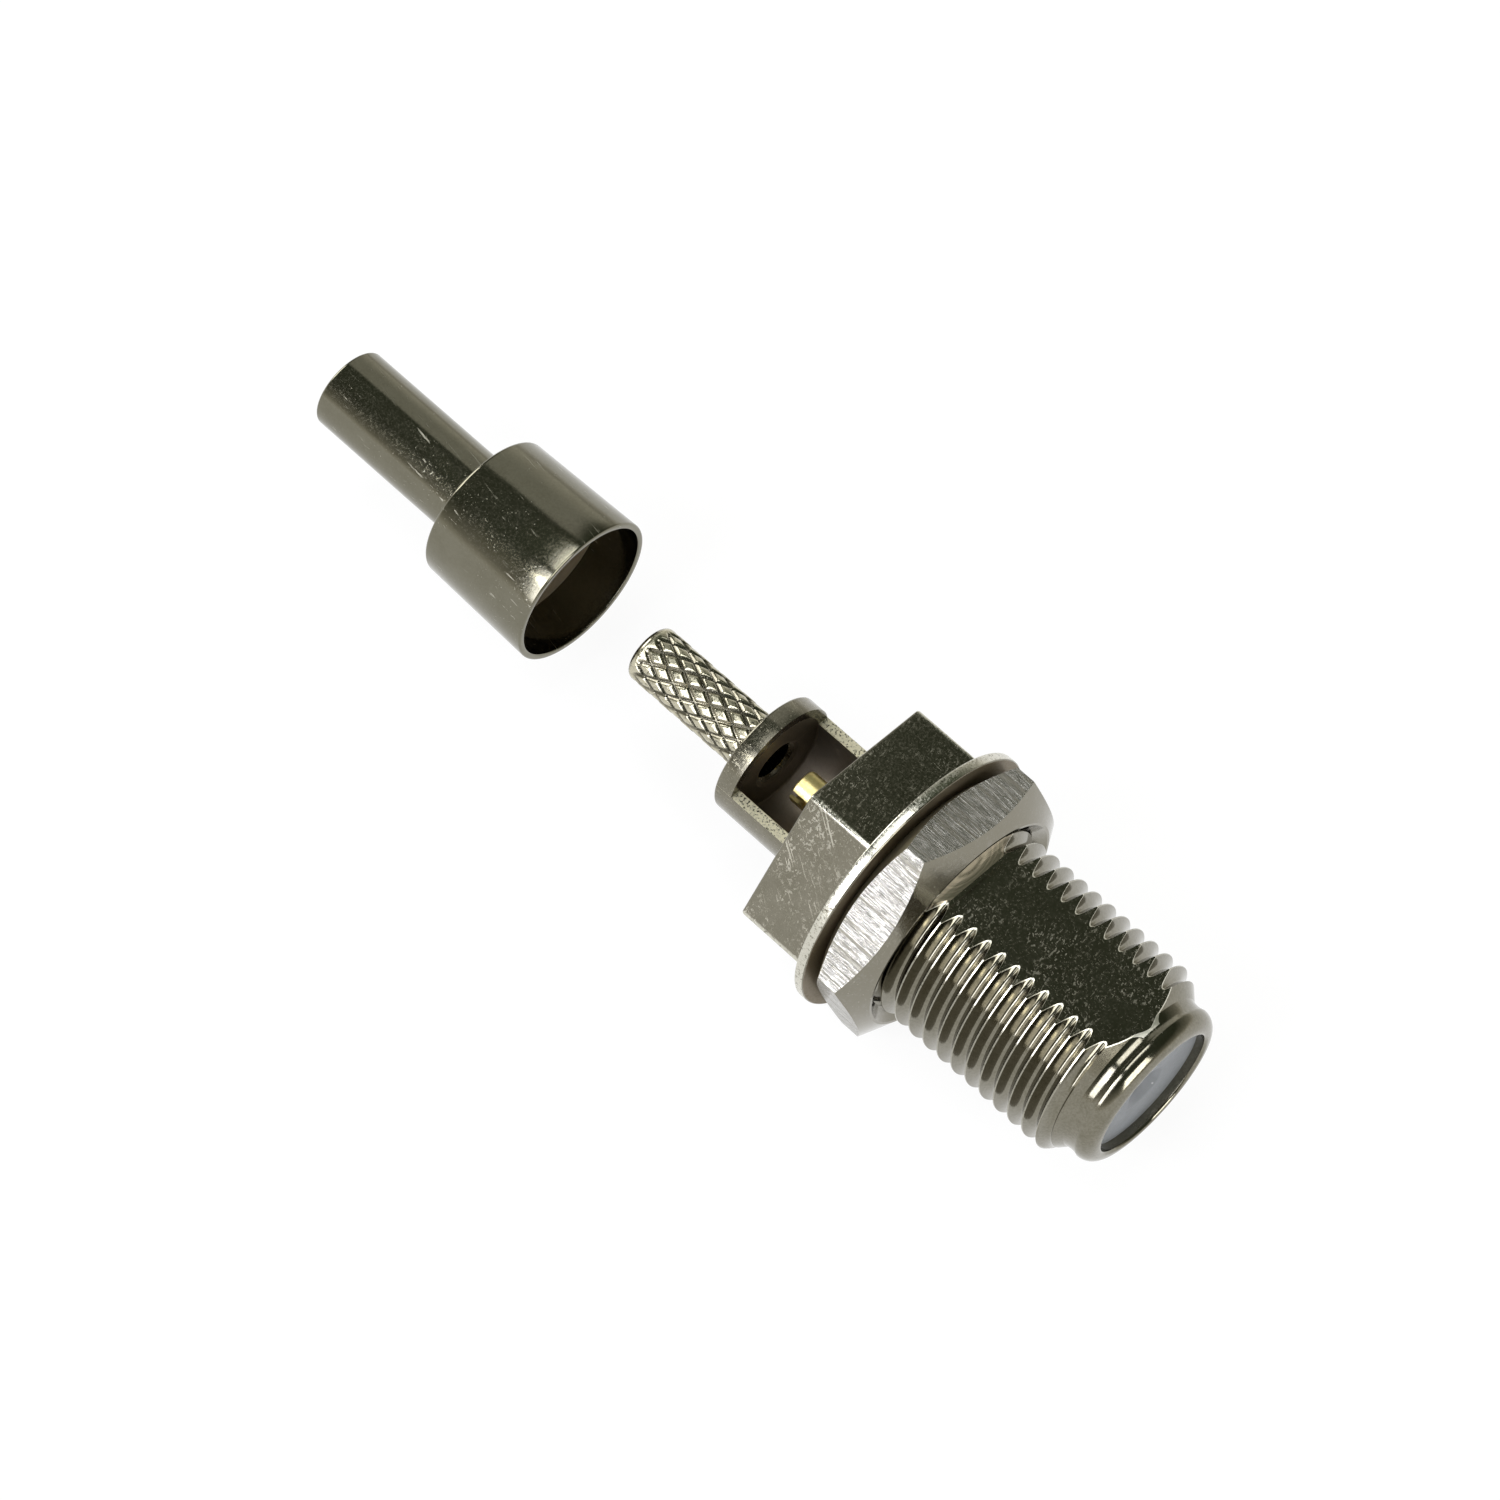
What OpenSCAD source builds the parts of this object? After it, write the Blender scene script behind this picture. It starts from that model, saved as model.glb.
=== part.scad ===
// Bulkhead coaxial jack with a crimp tail, shown with its crimp ferrule slid off the stem.
// The axis of the jack is X, with the mating end at +X. The origin is the centre of the
// flange's front face, where the jack seats on a panel. +Z is the upper flat of the hexagon.

/* [Threaded barrel] */
// Outside diameter of the thread
thread_d = 9.45; // [8.6:0.05:10.2]
// Advance of the thread for one turn
thread_pitch = 0.79375; // [0.6:0.05:1.0]
// Depth of the thread's grooves
thread_depth = 0.45; // [0.3:0.05:0.5]
// Plain length between the flange and the first groove
thread_lead = 0.5; // [0.3:0.1:0.8]
// Length of the full-size barrel in front of the flange
thread_len = 11.45; // [8:0.05:14]
// Wall of the plain nose, round the cavity for the insulators
nose_wall = 0.6; // [0.5:0.05:0.75]
// Length of the nose, from the end of the full-size barrel
nose_len = 2.15; // [1.9:0.05:3]
// Radius of the rolled lip on the nose
lip_round = 0.7; // [0.4:0.05:0.75]
// Radius inside the rolled lip, at the mouth
mouth_round = 0.14; // [0.05:0.01:0.2]
// Depth of the waist between the end cone and the rolled lip
waist = 0.06; // [0.03:0.01:0.1]
// How far the lip closes in over the insulator, past the cavity's wall
lip_in = 0.25; // [0.15:0.05:0.4]
// Depth of the mouth down to the insulator
mouth_depth = 0.5; // [0.3:0.05:0.9]
// Depth of the milled flat below the thread's crests
flat_cut = 0.825; // [0.7:0.005:0.86]
// Distance from the flange to the full depth of the milled flat
flat_start = 3.1; // [3:0.05:5]
// Radius that the cutter leaves at the end of the milled flat
flat_runout = 0.9; // [0.88:0.02:1.2]
// Turn of the milled flat about the axis, from the top of the hexagon
flat_turn = 0.7; // [-8:0.1:8]

/* [Flange and hexagon] */
// How far the flange stands out past the flats of the nut
flange_rim = 0.6; // [0.4:0.05:1.2]
// Thickness of the round flange
flange_t = 0.5; // [0.4:0.05:1]
// Small round on the edges of the flange
flange_round = 0.09; // [0.03:0.01:0.15]
// Size of the hexagon across its flats
hex_af = 11.1; // [10.2:0.1:11.1]
// Length of the hexagon behind the flange
hex_len = 3.32; // [2.9:0.02:4.2]
// Wall of the barrel, from the thread's crests to the cavity for the insulators
barrel_wall = 1.375; // [1.2:0.025:1.45]
// Thickness of the wall between the cavity and the tail's seat
web_t = 2.3; // [1.6:0.1:2.6]
// Depth of the cavity's floor in front of the flange's face
cavity_floor = 0.9; // [0.6:0.1:1.4]

/* [Panel nut] */
// Wall of the nut, from the thread's crests to its flats
nut_wall = 1.275; // [1.1:0.025:1.8]
// Thickness of the nut
nut_t = 2.7; // [2.2:0.05:3]
// Distance of the flat ring's edge on the nut's faces inside the nut's flats
nut_face_in = 0.6; // [0.5:0.05:0.8]
// Slope of the bevel on the nut's corners, from its faces
nut_bevel = 30; // [20:1:35]
// Radial clearance of the nut on the thread
nut_clear = 0.05; // [0.03:0.01:0.1]
// Width of the flat ring that the countersink leaves on each of the nut's faces
nut_ring = 0.12; // [0.06:0.02:0.3]
// Turn of the nut about the axis, from the hexagon
nut_turn = -8; // [-30:1:30]

/* [Crimp tail] */
// Outside diameter of the solder chamber
chamber_d = 5.95; // [5.6:0.05:6.4]
// Side wall of the solder chamber
chamber_side = 0.5; // [0.3:0.05:0.7]
// Length of the solder chamber behind the hexagon
chamber_len = 4.98; // [4.4:0.02:6]
// Thickness of the wall at the rear of the chamber
chamber_wall = 0.85; // [0.6:0.05:1.2]
// Small round on the rear edge of the chamber
chamber_round = 0.12; // [0.05:0.01:0.2]
// Height of the window's cut edges above the axis
window_h = 0.62; // [0.5:0.02:1.4]
// Lip of the chamber's wall left between the window and the chamber's rear wall
window_lip = 0.06; // [0.03:0.01:0.3]
// Turn of the window about the axis, from the top of the hexagon
window_turn = 3.3; // [-10:0.1:10]
// Wall of the crimp stem, out to the tips of its knurl
stem_wall = 0.425; // [0.35:0.025:0.5]
// Bore of the crimp stem, for the cable's dielectric
stem_bore = 1.85; // [1.6:0.05:2]
// Length of the crimp stem behind the chamber
stem_len = 6.9; // [5:0.1:8]
// Round at the free end of the crimp stem
stem_round = 0.3; // [0.1:0.05:0.35]
// Width of the countersink where the stem's bore enters the chamber
stem_sink = 0.25; // [0.1:0.05:0.3]

/* [Insulators] */
// Radial clearance between pieces that are assembled and stay put
seat_gap = 0.02; // [0.01:0.01:0.04]
// Length of the front insulator
front_len = 8.1; // [6:0.1:8.6]
// Hole in the front insulator, for the plug's wire
wire_hole_d = 1.1; // [1.0:0.05:1.4]
// Thickness of the front insulator's end wall
front_wall = 1.2; // [0.9:0.1:1.6]
// Width of the wire's lead-in cone
wire_lead = 0.4; // [0.2:0.05:0.6]
// Inside diameter of the front insulator, round the contact's fingers
finger_room_d = 2.8; // [2.6:0.1:3.4]
// Stretch of the rear insulator inside the chamber, behind the tail's seat
bead_len = 2.2; // [1.6:0.1:2.3]

/* [Centre contact] */
// Diameter of the solder cup and the contact's shank
cup_d = 1.6; // [1.4:0.05:1.7]
// Bore of the solder cup
cup_bore = 0.95; // [0.8:0.05:1.1]
// Length of the solder cup behind the rear insulator
cup_out = 2.9; // [2.4:0.1:3.4]
// Depth of the solder cup's bore
cup_depth = 2; // [1.5:0.1:2.4]
// Width of the slot in the side of the solder cup
cup_slot = 0.4; // [0.4:0.05:0.8]
// Turn of the solder cup's slot from straight up, about the axis
cup_turn = 75; // [-180:1:180]
// Diameter of the collar trapped between the insulators
collar_d = 2.4; // [2:0.05:2.5]
// Thickness of the collar
collar_t = 0.8; // [0.5:0.1:1.2]
// Diameter of the spring fingers
finger_d = 1.9; // [1.7:0.05:2]
// Bore between the spring fingers
finger_bore = 0.9; // [0.8:0.05:1]
// Room in front of the spring fingers, behind the front insulator's end wall
finger_end = 0.9; // [0.3:0.1:1.5]
// Width of the slots between the spring fingers
finger_slot = 0.25; // [0.15:0.05:0.35]

/* [Crimp ferrule] */
// Distance from the end of the stem to the ferrule's mouth, with the ferrule slid off
ferrule_gap = 4.05; // [1:0.05:8]
// Room round the solder chamber in the rear end of the ferrule's cup
sleeve_room = 0.275; // [0.15:0.025:0.5]
// Growth in diameter of the cup towards its mouth
sleeve_flare = 0.35; // [0:0.05:0.5]
// Room behind the solder chamber in the ferrule's cup, once it is pushed home
sleeve_spare = 0.72; // [0.3:0.02:2]
// Wall of the ferrule's cup
sleeve_wall = 0.3; // [0.2:0.02:0.36]
// Thickness of the step between the cup and the tube
step_t = 0.4; // [0.3:0.05:0.6]
// Room for the cable's braid between the stem and the ferrule's tube
braid_room = 0.25; // [0.15:0.05:0.35]
// Wall of the ferrule's tube
tube_wall = 0.365; // [0.25:0.005:0.5]
// Length of the ferrule's tube
tube_len = 8.6; // [6:0.1:12]
// Small round on the ferrule's outer edges
edge_round = 0.12; // [0.05:0.01:0.13]

/* [Hidden] */
$fn = 96;
// How far a cutting shape runs past the faces that it cuts
past = 1;
arc_steps = 12;

// Diameters that build on each other
cavity_d = thread_d - 2 * barrel_wall;
nose_d = cavity_d + 2 * nose_wall;
mouth_d = cavity_d - 2 * lip_in;
flat_h = thread_d / 2 - flat_cut;
nut_af = thread_d + 2 * nut_wall;
nut_face_d = nut_af - 2 * nut_face_in;
flange_d = nut_af + 2 * flange_rim;
chamber_bore = chamber_d - 2 * chamber_side;
stem_d = stem_bore + 2 * stem_wall;
sleeve_d = chamber_d + 2 * (sleeve_room + sleeve_wall);
tube_bore = stem_d + 2 * braid_room;
tube_d = tube_bore + 2 * tube_wall;
finger_len = front_len - front_wall - finger_end;
sleeve_len = chamber_len + sleeve_spare + step_t;

// Places along the axis
nose_x = thread_len + nose_len;
mouth_x = nose_x - mouth_depth;
hex_x = -(flange_t + hex_len);
seat_x = cavity_floor - web_t;
chamber_x = hex_x - chamber_len;
wall_x = chamber_x + chamber_wall;
spigot_x = seat_x - seat_gap;
stem_x = chamber_x - stem_len;
front_x = mouth_x - front_len;
bead_x = seat_x - bead_len;
cup_x = bead_x - cup_out;
collar_x = front_x - collar_t;
sleeve_x = stem_x - ferrule_gap;
step_x = sleeve_x - sleeve_len;
tube_x = step_x - tube_len;

// Sizes that follow from the others
cone_len = (thread_d - nose_d) / 2;
waist_len = nose_len - cone_len - lip_round;
waist_r = waist_len * waist_len / (8 * waist) + waist / 2;
waist_turn = asin(waist_len / 2 / waist_r);
grooves = floor((thread_len - thread_lead) / thread_pitch);
root_half = thread_pitch / 16;
crest_half = root_half + thread_depth * tan(30);
nut_bore = thread_d + 2 * nut_clear;
nut_sink = (nut_face_d - nut_bore) / 2 - nut_ring;
nut_corner = nut_af / cos(30) / 2;
bevel_drop = (nut_corner - nut_face_d / 2) * tan(nut_bevel);
sleeve_mouth_d = sleeve_d + sleeve_flare;

// Points of an arc about [r, x], from one angle to another
function arc(centre, radius, from, to) = [
    for (i = [0:arc_steps])
        let (a = from + (to - from) * i / arc_steps)
            [centre[0] + radius * cos(a), centre[1] + radius * sin(a)]
];

// Turns a profile of [radius, x] points about the axis of the jack
module turned(points) {
    rotate([0, 90, 0]) rotate_extrude() polygon(points);
}

// A plain hole along the axis
module bored(d, from, to) {
    translate([from, 0, 0]) rotate([0, 90, 0]) cylinder(d = d, h = to - from);
}

// A hexagonal prism along the axis, with a flat at the top
module hexagon(af, from, to) {
    translate([from, 0, 0])
        rotate([0, 90, 0])
            rotate([0, 0, 30])
                cylinder(d = af / cos(30), h = to - from, $fn = 6);
}

// Outside of the barrel: thread grooves, cone, plain nose and rolled lip
module barrel() {
    crest = thread_d / 2;
    root = crest - thread_depth;
    turned(concat(
        [[0, -flange_t / 2], [crest, -flange_t / 2]],
        [for (i = [0:grooves - 1])
            let (x = thread_lead + (i + 0.5) * thread_pitch)
                for (p = [[crest, -crest_half], [root, -root_half], [root, root_half], [crest, crest_half]])
                    [p[0], x + p[1]]],
        [[crest, thread_len]],
        arc([nose_d / 2 + waist_r - waist, nose_x - lip_round - waist_len / 2],
            waist_r, 180 + waist_turn, 180 - waist_turn),
        arc([nose_d / 2 - lip_round, nose_x - lip_round], lip_round, 0, 90),
        [[0, nose_x]]
    ));
}

// The milled flat along the barrel, ending in the cutter's own radius
module milled_flat() {
    rotate([flat_turn, 0, 0]) {
        translate([flat_start, -flange_d / 2, flat_h])
            cube([nose_x - lip_round - waist_len / 2 - flat_start, flange_d, thread_d]);
        translate([flat_start, -flange_d / 2, flat_h + flat_runout])
            rotate([-90, 0, 0])
                cylinder(r = flat_runout, h = flange_d);
    }
}

// The mouth, with its edge rounded into the lip
module mouth() {
    turned(concat(
        [[0, mouth_x - past], [mouth_d / 2, mouth_x - past]],
        arc([mouth_d / 2 + mouth_round, nose_x - mouth_round], mouth_round, 180, 90),
        [[mouth_d / 2 + mouth_round, nose_x + past], [0, nose_x + past]]
    ));
}

// The round flange, with both of its edges rounded
module flange() {
    edge_r = flange_d / 2 - flange_round;
    turned(concat(
        [[0, -flange_t]],
        arc([edge_r, flange_round - flange_t], flange_round, -90, 0),
        arc([edge_r, -flange_round], flange_round, 0, 90),
        [[0, 0]]
    ));
}

// Hexagon, flange, threaded barrel and nose, turned and milled from one bar
module jack_body() {
    color("silver")
        difference() {
            union() {
                hexagon(hex_af, hex_x, -flange_t / 2);
                flange();
                barrel();
            }
            mouth();
            bored(cavity_d, cavity_floor, mouth_x);
            bored(chamber_bore, seat_x - past, cavity_floor + past);
            bored(chamber_d + 2 * seat_gap, hex_x - past, seat_x);
            milled_flat();
        }
}

// Hexagonal nut with bevelled corners and a countersunk bore
module panel_nut() {
    color("gainsboro")
        difference() {
            intersection() {
                rotate([nut_turn, 0, 0]) hexagon(nut_af, 0, nut_t);
                turned([
                    [0, 0], [nut_face_d / 2, 0], [nut_corner, bevel_drop],
                    [nut_corner, nut_t - bevel_drop], [nut_face_d / 2, nut_t], [0, nut_t]
                ]);
            }
            bored(nut_bore, -past, nut_t + past);
            for (face = [0, nut_t])
                translate([face, 0, 0])
                    turned([
                        [0, -nut_sink], [nut_bore / 2, -nut_sink], [nut_bore / 2 + nut_sink, 0],
                        [nut_bore / 2, nut_sink], [0, nut_sink]
                    ]);
        }
}

// Knurled stem and windowed solder chamber in one piece, pressed into the hexagon
module crimp_tail() {
    color("darkgray")
        difference() {
            turned(concat(
                [[stem_bore / 2, stem_x]],
                arc([stem_d / 2 - stem_round, stem_x + stem_round], stem_round, -90, 0),
                [[stem_d / 2, chamber_x]],
                arc([chamber_d / 2 - chamber_round, chamber_x + chamber_round], chamber_round, -90, 0),
                [
                    [chamber_d / 2, spigot_x], [chamber_bore / 2, spigot_x], [chamber_bore / 2, wall_x],
                    [stem_bore / 2 + stem_sink, wall_x], [stem_bore / 2, wall_x - stem_sink]
                ]
            ));
            rotate([window_turn, 0, 0])
                translate([wall_x + window_lip, -chamber_d, window_h])
                    cube([hex_x - wall_x - window_lip, 2 * chamber_d, chamber_d]);
        }
}

// White disc in the mouth, hollow behind its end wall for the contact's fingers
module front_insulator() {
    color("white")
        turned([
            [wire_hole_d / 2 + wire_lead, mouth_x], [cavity_d / 2 - seat_gap, mouth_x],
            [cavity_d / 2 - seat_gap, front_x], [finger_room_d / 2, front_x],
            [finger_room_d / 2, mouth_x - front_wall], [wire_hole_d / 2, mouth_x - front_wall],
            [wire_hole_d / 2, mouth_x - wire_lead]
        ]);
}

// Stepped insulator that carries the contact through the wall of the body
module rear_insulator() {
    color("ivory")
        turned([
            [cup_d / 2 + seat_gap, bead_x], [chamber_bore / 2 - seat_gap, bead_x],
            [chamber_bore / 2 - seat_gap, cavity_floor], [cavity_d / 2 - seat_gap, cavity_floor],
            [cavity_d / 2 - seat_gap, front_x], [collar_d / 2 + seat_gap, front_x],
            [collar_d / 2 + seat_gap, collar_x], [cup_d / 2 + seat_gap, collar_x]
        ]);
}

// Gold-plated contact: solder cup, shank, collar and four spring fingers
module centre_contact() {
    color("gold")
        difference() {
            turned([
                [0, cup_x + cup_depth], [cup_bore / 2, cup_x + cup_depth], [cup_bore / 2, cup_x],
                [cup_d / 2, cup_x], [cup_d / 2, collar_x], [collar_d / 2, collar_x],
                [collar_d / 2, front_x], [finger_d / 2, front_x],
                [finger_d / 2, front_x + finger_len], [finger_bore / 2, front_x + finger_len],
                [finger_bore / 2, front_x + collar_t], [0, front_x + collar_t]
            ]);
            rotate([cup_turn, 0, 0])
                translate([cup_x - past, -cup_slot / 2, 0])
                    cube([cup_depth + past, cup_slot, cup_d]);
            for (turn = [0, 90])
                rotate([turn, 0, 0])
                    translate([front_x + collar_t, -finger_slot / 2, -finger_d])
                        cube([finger_len, finger_slot, 2 * finger_d]);
        }
}

// Stepped ferrule: a flared cup for the chamber and a tube for the braid and jacket
module crimp_ferrule() {
    cup_floor = step_x + step_t;
    mouth_r = sleeve_mouth_d / 2;
    color("lightgray")
        turned(concat(
            [[tube_bore / 2, tube_x]],
            arc([tube_d / 2 - edge_round, tube_x + edge_round], edge_round, -90, 0),
            [[tube_d / 2, step_x]],
            arc([sleeve_d / 2 - edge_round, step_x + edge_round], edge_round, -90, 0),
            arc([mouth_r - edge_round, sleeve_x - edge_round], edge_round, 0, 90),
            [
                [mouth_r - sleeve_wall, sleeve_x],
                [sleeve_d / 2 - sleeve_wall, cup_floor],
                [tube_bore / 2, cup_floor]
            ]
        ));
}

jack_body();
panel_nut();
crimp_tail();
front_insulator();
rear_insulator();
centre_contact();
crimp_ferrule();
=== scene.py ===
import math

import bpy
from mathutils import Matrix, Vector


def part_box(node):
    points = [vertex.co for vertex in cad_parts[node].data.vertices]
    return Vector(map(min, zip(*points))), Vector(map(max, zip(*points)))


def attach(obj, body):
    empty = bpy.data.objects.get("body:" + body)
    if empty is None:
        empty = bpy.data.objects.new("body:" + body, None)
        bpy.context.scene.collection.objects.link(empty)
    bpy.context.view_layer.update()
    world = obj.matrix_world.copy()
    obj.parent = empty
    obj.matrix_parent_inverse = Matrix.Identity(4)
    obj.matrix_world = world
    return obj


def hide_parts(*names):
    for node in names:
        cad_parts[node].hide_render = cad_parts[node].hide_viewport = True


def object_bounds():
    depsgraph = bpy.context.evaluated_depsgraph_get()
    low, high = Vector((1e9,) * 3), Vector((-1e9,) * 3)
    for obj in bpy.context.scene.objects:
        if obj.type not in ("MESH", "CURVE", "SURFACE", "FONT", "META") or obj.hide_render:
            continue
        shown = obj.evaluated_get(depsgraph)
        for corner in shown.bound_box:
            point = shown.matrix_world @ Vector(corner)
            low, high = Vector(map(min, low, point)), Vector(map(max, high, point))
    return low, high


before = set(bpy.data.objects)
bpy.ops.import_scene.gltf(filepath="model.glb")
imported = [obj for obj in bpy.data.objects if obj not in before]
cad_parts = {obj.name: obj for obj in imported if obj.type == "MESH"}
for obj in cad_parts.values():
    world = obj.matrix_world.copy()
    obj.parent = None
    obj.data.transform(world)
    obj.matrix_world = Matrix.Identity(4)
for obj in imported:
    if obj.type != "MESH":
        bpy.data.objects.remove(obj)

bl_info = {
    "name": "Bulkhead Coaxial Jack",
    "version": (1, 0, 0),
    "blender": (4, 5, 0),
    "location": "View3D > Sidebar > Coaxial Jack",
    "description": "Builds a plated bulkhead jack with its panel nut, crimp tail and loose ferrule",
    "category": "Add Mesh",
}

MM = 0.001
FULL_TURN = math.tau
CAD_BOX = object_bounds()
BODY_LOW, BODY_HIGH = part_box("jack_body")
NUT_LOW, NUT_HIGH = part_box("panel_nut")
TAIL_LOW, TAIL_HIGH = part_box("crimp_tail")
FRONT_LOW, FRONT_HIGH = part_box("front_insulator")
REAR_LOW, REAR_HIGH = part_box("rear_insulator")
CONTACT_LOW, CONTACT_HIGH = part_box("centre_contact")
FERRULE_LOW, FERRULE_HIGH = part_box("crimp_ferrule")


def length(name, description, millimetres):
    """A length that the sidebar shows, given here in millimetres."""
    return bpy.props.FloatProperty(
        name=name, description=description, default=millimetres * MM,
        min=0.0, precision=5, unit="LENGTH")


def colour(name, description, value):
    """A plain colour that the sidebar shows."""
    return bpy.props.FloatVectorProperty(
        name=name, description=description, default=value,
        min=0.0, max=1.0, size=3, subtype="COLOR")


class JackSizes(bpy.types.PropertyGroup):
    """Sizes of the jack that its solids do not carry as a box."""
    thread_d: length("Thread diameter", "Diameter over the crests of the thread", 9.45)
    thread_pitch: length("Thread pitch", "Advance of the thread for one turn", 0.79375)
    thread_depth: length("Thread depth", "Depth of the thread's groove", 0.45)
    thread_lead: length("Thread start", "Place of the first groove in front of the flange", 0.5)
    thread_end: length("Thread end", "Place where the end cone starts", 11.45)
    nose_d: length("Nose diameter", "Diameter of the nose in front of the thread", 7.9)
    waist: length("Waist", "Depth of the waist between the end cone and the lip", 0.06)
    lip_round: length("Lip round", "Radius of the rolled lip", 0.7)
    mouth_d: length("Mouth diameter", "Diameter inside the lip", 6.2)
    cavity_d: length("Cavity diameter", "Diameter of the cavity for the insulators", 6.7)
    cavity_floor: length("Cavity floor", "Place of the cavity's floor", 0.9)
    tail_seat: length("Tail seat", "Distance of the tail's seat behind the flange's face", 1.4)
    flat_height: length("Flat height", "Height of the milled flat above the axis", 3.9)
    flat_start: length("Flat start", "Place where the milled flat reaches its depth", 3.1)
    flat_runout: length("Flat run-out", "Radius that the cutter leaves", 0.9)
    flange_d: length("Flange diameter", "Diameter of the round flange", 13.2)
    flange_t: length("Flange thickness", "Thickness of the round flange", 0.5)
    hex_across: length("Hexagon", "Size of the hexagon across its flats", 11.1)
    nut_across: length("Nut", "Size of the nut across its flats", 12.0)
    nut_face_d: length("Nut face", "Outside diameter of the flat ring on each face of the nut", 10.8)
    nut_sink: length("Nut countersink", "Width of the countersink of the nut's bore", 0.505)
    stem_d: length("Stem diameter", "Diameter over the knurl of the stem", 2.7)
    stem_bore: length("Stem bore", "Bore of the stem", 1.85)
    chamber_d: length("Chamber diameter", "Outside diameter of the solder chamber", 5.95)
    chamber_bore: length("Chamber bore", "Inside diameter of the solder chamber", 4.95)
    chamber_len: length("Chamber length", "Length of the chamber behind the hexagon", 4.98)
    chamber_wall: length("Chamber wall", "Thickness of the chamber's rear wall", 0.85)
    window_height: length("Window height", "Height of the window's cut edges", 0.62)
    knurl_depth: length("Knurl depth", "Depth of the knurl on the stem", 0.13)
    knurl_step: length("Knurl step", "Length of one diamond along the stem", 1.29)
    cup_d: length("Solder cup", "Diameter of the solder cup", 1.6)
    cup_bore: length("Solder cup bore", "Bore of the solder cup", 0.95)
    collar_d: length("Contact collar", "Diameter of the contact's collar", 2.4)
    finger_d: length("Contact fingers", "Diameter over the spring fingers", 1.9)
    wire_hole_d: length("Wire hole", "Hole in the front insulator", 1.1)
    ferrule_cup_d: length("Ferrule cup", "Diameter of the ferrule's cup at its step", 7.1)
    ferrule_cup_len: length("Ferrule cup length", "Length of the ferrule's cup", 6.1)
    ferrule_tube_d: length("Ferrule tube", "Outside diameter of the ferrule's tube", 3.93)
    ferrule_bore: length("Ferrule bore", "Bore of the ferrule's tube", 3.2)
    ferrule_wall: length("Ferrule wall", "Wall of the ferrule's cup", 0.3)
    flat_turn: bpy.props.FloatProperty(
        name="Flat turn", description="Turn of the milled flat about the axis",
        default=math.radians(0.7), subtype="ANGLE")
    window_turn: bpy.props.FloatProperty(
        name="Window turn", description="Turn of the window about the axis",
        default=math.radians(3.3), subtype="ANGLE")
    cup_turn: bpy.props.FloatProperty(
        name="Solder cup turn", description="Turn of the solder cup's slot about the axis",
        default=math.radians(75.0), subtype="ANGLE")
    nut_turn: bpy.props.FloatProperty(
        name="Nut turn", description="Turn of the panel nut about the axis",
        default=math.radians(-8.0), subtype="ANGLE")
    knurl_starts: bpy.props.IntProperty(
        name="Knurl starts", description="Grooves of the knurl each way round the stem",
        default=12, min=6, max=24)


class JackFinish(bpy.types.PropertyGroup):
    """Colours of the plating, the contact and the plastic."""
    nickel: colour("Nickel", "Colour of the nickel plating", (0.235, 0.22, 0.175))
    # The nut's plating is set lighter than the body's: its own bright plating with painted light.
    nickel_bright_and_lit: colour("Bright nickel", "Colour of the nut's plating", (0.39, 0.38, 0.355))
    nickel_stain: colour("Nickel stain", "Colour of the plating where it has dulled", (0.155, 0.145, 0.105))
    # The ferrule's plating is set darker than the body's: satin plating with painted shade.
    nickel_satin_and_shaded: colour("Satin nickel", "Colour of the ferrule's plating", (0.20, 0.19, 0.145))
    # Bright colour of scratches, and of rims that carry a painted edge highlight over rubbed plating.
    worn_edge_and_highlight: colour("Worn edge", "Colour of the plating on worn edges and in scratches", (0.80, 0.78, 0.68))
    # Bright colour of the knurl's tops, painted as highlight and wear, and of the window's cut faces, painted as
    # highlight.
    knurl_wear_and_highlight: colour("Worn knurl", "Colour of the plating on the knurl and the window's edges",
                       (0.70, 0.66, 0.50))
    gold: colour("Gold", "Colour of the contact's plating", (0.82, 0.71, 0.32))
    plastic: colour("Front plastic", "Colour of the insulator in the mouth", (0.18, 0.19, 0.205))
    ptfe: colour("Rear plastic", "Colour of the insulator behind the contact", (0.80, 0.80, 0.76))
    floor: colour("Floor", "Colour of the floor", (0.94, 0.94, 0.935))


# Modelling helpers. Pieces are modelled in millimetres and scaled once at their finish.

def clear_selection():
    if bpy.context.object and bpy.context.object.mode != "OBJECT":
        bpy.ops.object.mode_set(mode="OBJECT")
    bpy.ops.object.select_all(action="DESELECT")


def activate(obj):
    clear_selection()
    obj.select_set(True)
    bpy.context.view_layer.objects.active = obj


def arc(r, x, radius, start, end, count=8):
    """Points of a round about (r, x). 0 degrees points outwards and 90 towards +X."""
    angles = [math.radians(start + (end - start) * i / count) for i in range(count + 1)]
    return [(r + radius * math.cos(a), x + radius * math.sin(a)) for a in angles]


def outline(name, points, close=True):
    """Draws a chain of edges through the points by extruding one vertex."""
    clear_selection()
    bpy.ops.mesh.primitive_plane_add(size=1.0)
    obj = bpy.context.object
    obj.name = name
    obj.data.name = name
    bpy.ops.object.mode_set(mode="EDIT")
    bpy.ops.mesh.merge(type="CENTER")
    path = [Vector(p) for p in points]
    if close:
        path.append(path[0])
    bpy.ops.transform.translate(value=path[0])
    for here, there in zip(path, path[1:]):
        bpy.ops.mesh.extrude_vertices_move(TRANSFORM_OT_translate={"value": there - here})
    bpy.ops.mesh.select_all(action="SELECT")
    bpy.ops.mesh.remove_doubles(threshold=1e-4)
    return obj


def close_up():
    """Merges doubles and turns the faces outwards, in edit mode."""
    bpy.ops.mesh.select_all(action="SELECT")
    bpy.ops.mesh.remove_doubles(threshold=1e-4)
    bpy.ops.mesh.normals_make_consistent(inside=False)
    bpy.ops.object.mode_set(mode="OBJECT")


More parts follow.
